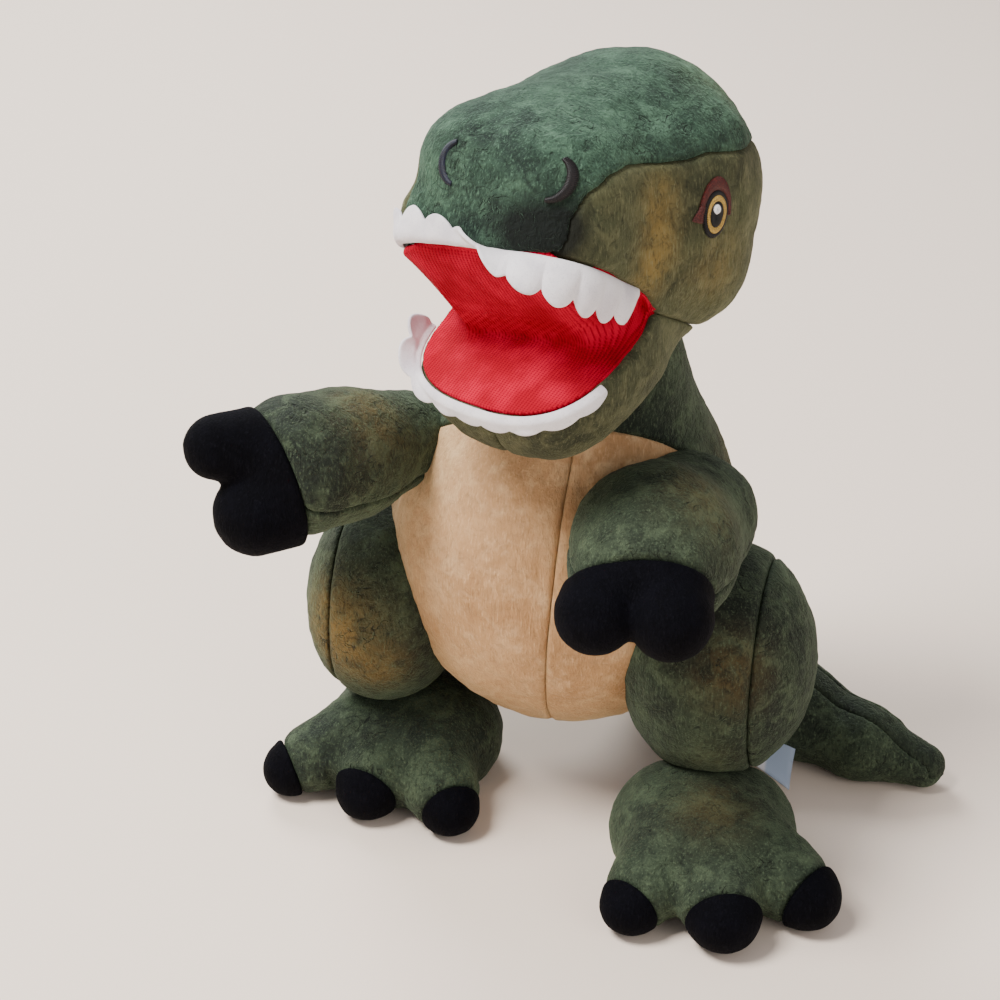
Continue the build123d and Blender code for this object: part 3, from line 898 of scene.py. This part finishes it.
def make_nostril(side_name, side):
    """A crescent of stitches on the muzzle's front, open towards the middle."""
    count = 34
    angles = np.radians(np.linspace(-82, 66, count))
    swell = 0.35 + 0.65 * np.sin(np.linspace(0.25, math.pi - 0.12, count))
    outward = HEAD.axes[0]
    aside, rise, tint = NOSTRILS[side_name]

    def edge(across, up, width):
        left = aside + side * (across + width * swell) * np.cos(angles)
        above = rise + (up + width * swell) * np.sin(angles)
        return HEAD.outside(np.stack((np.full(count, 40.0), left, above), -1))

    tag = f"nostril_{side_name}"
    inner, outer = edge(4.6, 4.9, -1.0), edge(4.9, 5.2, 1.0)
    stitches(tag + "_thread", inner, outer, 0.2, 0.36, THREADS[tint], [tag], outward)


# ---- limbs --------------------------------------------------------------------------
ARM_BOUNDS = {"right": ((-100, -64, 84), (-14, 12, 136)), "left": ((4, -80, 78), (66, 12, 136))}
ARM_SEED = {"right": 51, "left": 71}
ARM_SEAM = np.array((0, -0.6, 0.8))  # the way that the upper panel faces, before it is squared to the arm


def make_arm(side):
    low, high = ARM_BOUNDS[side]
    root, hand = np.array(ARM_BALLS[side][0][0]), np.array(ARM_BALLS[side][-1][0])
    run = hand - root
    seam = ARM_SEAM - run * (run @ ARM_SEAM) / (run @ run)

    def beyond_cuff(points):
        return plane(points, *MITT_SEAM[side])

    def upper(points):
        return plane(points, root, seam)

    limits = {
        f"arm_upper_{side}": [beyond_cuff, lambda p: -upper(p)],
        f"arm_under_{side}": [beyond_cuff, upper],
    }
    made = panels(lambda p: arm(p, side), low, high, limits, ARM_SEED[side])

    def hand_form(points):
        return join(arm(points, side) + 0.8, mitt(points, side), 4)

    limits = {f"arm_mitt_{side}": [lambda p: -beyond_cuff(p)]}
    made |= panels(hand_form, low, high, limits, 61, strength=0.5)
    middle = (root + hand) / 2
    golden = spots((tuple(middle + (6, -6, 12)), 10, 0.45), (tuple(middle + (-4, -14, 4)), 9, 0.35))
    # Painted shade at the arm's root, where it meets the body.
    dark = spots((tuple(root + (0, -8, -6)), 14, 0.5))
    body = f"arm_{side}"
    nodes = [f"arm_upper_panel_{side}", f"arm_stuffing_{side}"]
    dress(made[f"arm_upper_{side}"], GREEN, nodes, body, golden, dark)
    nodes = [f"arm_under_panel_{side}"]
    dress(made[f"arm_under_{side}"], GREEN, nodes, body, golden, dark)
    dress(made[f"arm_mitt_{side}"], BLACK, [f"arm_claws_{side}"], body)


LEG_BOUNDS = {"right": ((-84, -44, -3), (-12, 40, 90)), "left": ((12, -76, -3), (90, 34, 90))}
LEG_SEED = {"right": 91, "left": 111}
SOLE_HEIGHT, CLAW_HEIGHT, TAIL_HEIGHT = 0.8, 0.6, 0.6  # of the flat undersides, above the floor


def make_leg(side):
    outward = 1 if side == "left" else -1
    low, high = LEG_BOUNDS[side]
    centre, base = np.array(THIGH_CENTRES[side]), FEET[side].centre
    half_width = THIGH_RADII[side][0]

    def outer(points):
        return outward * (points[..., 0] - centre[0]) - 0.45 * half_width

    def above_ankle(points):
        return 0.6 * (foot(points, side) - thigh(points, side))

    def claw(points, name):
        """Positive in the claw that ends the named toe."""
        tip = np.array(CLAW_TIPS[side][name])
        away = tip - (base[0], base[1], tip[2] + 9)
        return plane(points, tip - 0.2 * away / np.linalg.norm(away), away)

    def short_of_claw(name):
        return lambda p: np.where(toe(p, side, name) < 3, claw(p, name), -9.0)

    def form(points):
        return meet(leg(points, side), SOLE_HEIGHT - points[..., 2], 3.0)

    limits = {
        f"thigh_side_{side}": [lambda p: -outer(p), lambda p: -above_ankle(p)],
        f"thigh_front_{side}": [outer, lambda p: -above_ankle(p)],
        f"foot_pad_{side}": [above_ankle, *map(short_of_claw, CLAW_TIPS[side])],
    }
    made = panels(form, low, high, limits, LEG_SEED[side])
    if side == "right":
        golden = spots((tuple(centre + (-8, -26, 2)), 12, 1.0), (tuple(centre + (6, -28, -8)), 8, 0.5))
    else:
        golden = spots((tuple(centre + (8, -28, 12)), 10, 0.3), (tuple(base + (4, -10, 16)), 10, 0.3))
    # Painted shade in the hollow between the thigh's inner front and the belly, and a small spot of it on
    # the foot's top where the foot meets the thigh's front.
    hollow = tuple(centre + (-outward * 18, -16, -6))
    dark = spots((hollow, 14, 0.5), (tuple(base + (0, -16, 8)), 5, 0.3))
    body = f"leg_{side}"
    pieces = {
        f"thigh_side_{side}": [f"thigh_side_panel_{side}", f"thigh_stuffing_{side}"],
        f"thigh_front_{side}": [f"thigh_front_panel_{side}"],
        f"foot_pad_{side}": [f"foot_upper_{side}", f"foot_sole_{side}", f"foot_stuffing_{side}"],
    }
    for name, nodes in pieces.items():
        dress(made[name], GREEN, nodes, body, golden, dark)
    for name, tip in CLAW_TIPS[side].items():
        def nail(points, name=name):
            return meet(toe(points, side, name) - 0.5, CLAW_HEIGHT - points[..., 2], 3.0)

        title = f"claw_{side}_{name}"
        low, high = (tip[0] - 14, tip[1] - 14, -3), (tip[0] + 14, tip[1] + 14, 22)
        limits = {title: [lambda p, name=name: -claw(p, name)]}
        made = panels(nail, low, high, limits, 131, step=FINE_STEP, strength=0.4)
        dress(made[title], BLACK, [f"toe_claw_{side}_{name}"], body)


GUSSET_HALF_WIDTH = 4.0
TAIL_MIDDLE = (61, 33.5, 15)


def make_tail():
    root, tip = np.array(TAIL_BALLS[2][0]), np.array(TAIL_BALLS[-1][0])
    across = np.cross((0, 0, 1), tip - root)
    across /= np.linalg.norm(across)
    top = np.cross(tip - root, across)
    top /= np.linalg.norm(top)
    centres = np.array([centre for centre, _ in TAIL_BALLS[1:]])
    sway = np.polyfit(centres[:, 0], plane(centres, TAIL_MIDDLE, across), 2)

    def aside(points):
        """How far to the side of the tail's own curved middle."""
        return plane(points, TAIL_MIDDLE, across) - np.polyval(sway, points[..., 0])

    def gusset(points):
        return np.maximum(np.abs(aside(points)) - GUSSET_HALF_WIDTH, -plane(points, TAIL_MIDDLE, top))

    def form(points):
        return meet(tail(points), TAIL_HEIGHT - points[..., 2], 2.0)

    limits = {
        "tail_top": [gusset],
        "tail_side_left": [lambda p: -gusset(p), lambda p: -aside(p)],
        "tail_side_right": [lambda p: -gusset(p), aside],
    }
    made = panels(form, (-16, 14, -4), (110, 78, 64), limits, 151, rim=0.9)
    dark = spots(((60, 37, 30), 200, 0.45))
    bend = ("torso", "tail", np.array((10, 42, 38)), np.array((22, 54, 26)))
    nodes = ["tail_gusset", "tail_stuffing"]
    dress(made["tail_top"], GREEN, nodes, bend, None, dark)
    dress(made["tail_side_left"], GREEN, ["tail_panel_left"], bend)
    dress(made["tail_side_right"], GREEN, ["tail_panel_right"], bend)


LABEL_SIZE = (18.0, 30.0)


def make_label():
    """A blank satin flap that hangs from the body's seam behind the left leg."""
    columns, rows = 13, 19
    run, across = np.array((27.0, -7, -14)), np.array((0, 17.0, 9))
    run /= np.linalg.norm(run)
    across /= np.linalg.norm(across)
    half_width, half_length = LABEL_SIZE[0] / 2, LABEL_SIZE[1] / 2
    u, v = np.meshgrid(
        np.linspace(-half_width, half_width, columns), np.linspace(-half_length, half_length, rows)
    )
    curl = 1.2 * np.sin(v / 9) + 0.02 * u * u
    places = (51, 19, 13.5) + v[..., None] * run + u[..., None] * across
    places += curl[..., None] * np.cross(run, across)
    thing = mesh_object("care_flap", places.reshape(-1, 3), grid_faces(rows, columns))
    thing.modifiers.new("cloth", "SOLIDIFY").thickness = 0.35 * MM
    share = (v.ravel() + half_length) / LABEL_SIZE[1]
    dress(thing, SATIN, ["care_label"], "torso", patch=lambda places: share)


# ---- stage --------------------------------------------------------------------------
def make_stage():
    floor = bpy.data.meshes.new("floor")
    floor.from_pydata([(-4, -4, 0), (4, -4, 0), (4, 4, 0), (-4, 4, 0)], [], [(0, 1, 2, 3)])
    thing = bpy.data.objects.new("floor", floor)
    bpy.context.scene.collection.objects.link(thing)
    s = Shader("floor_paper")
    place = s.node("ShaderNodeTexCoord").outputs["Object"]
    base = s.mix(s.noise(place, 0.4), colour(240, 222, 204), colour(244, 228, 212))
    thing.data.materials.append(s.finish(Base_Color=base, Roughness=0.9))
    world = bpy.data.worlds.new("studio")
    world.use_nodes = True
    world.node_tree.nodes["Background"].inputs["Color"].default_value = (0.92, 0.90, 0.95, 1)
    world.node_tree.nodes["Background"].inputs["Strength"].default_value = 0.5
    bpy.context.scene.world = world
    target = Vector((HOME + (0, 0, 110)) * MM)

    def lamp(name, place, size, power, tint):
        light = bpy.data.lights.new(name, "AREA")
        light.shape, light.size, light.energy, light.color = "DISK", size, power, tint
        thing = bpy.data.objects.new(name, light)
        thing.location = place
        thing.rotation_euler = (target - Vector(place)).to_track_quat("-Z", "Y").to_euler()
        bpy.context.scene.collection.objects.link(thing)

    lamp("key", (-0.45, -0.35, 1.0), 0.45, 21.0, (1.0, 0.98, 0.96))
    lamp("fill", (0.9, -0.7, 0.6), 0.8, 5.0, (1.0, 0.95, 0.9))
    lamp("rim", (-0.6, 0.8, 0.8), 0.6, 14.0, (0.96, 0.98, 1.0))


def make_camera():
    azimuth, elevation, distance = math.radians(14), math.radians(28), 0.65
    level = math.cos(elevation)
    back = Vector((math.sin(azimuth) * level, -math.cos(azimuth) * level, math.sin(elevation)))
    target = Vector((HOME + (-6.8, -38.8, 110)) * MM)
    lens = bpy.data.cameras.new("camera")
    lens.lens, lens.sensor_width = 93.6, 36.0
    thing = bpy.data.objects.new("camera", lens)
    thing.location = target + back * distance
    thing.rotation_euler = back.to_track_quat("Z", "Y").to_euler()
    bpy.context.scene.collection.objects.link(thing)
    bpy.context.scene.camera = thing


make_camera()
make_stage()
make_torso()
jaw_bend = make_head()
make_lining(jaw_bend)
upper = make_teeth("upper_teeth_strip", PALATE, head, 18, 13, UPPER_TEETH, "upper_teeth", "head", 1)
lower = make_teeth("lower_teeth_strip", JAW, jaw, 17, 9, LOWER_TEETH, "lower_teeth", "jaw", -1)
for side_name, side_sign in (("left", 1), ("right", -1)):
    make_eye(side_name, side_sign)
    make_nostril(side_name, side_sign)
    make_arm(side_name)
    make_leg(side_name)
make_tail()
make_label()
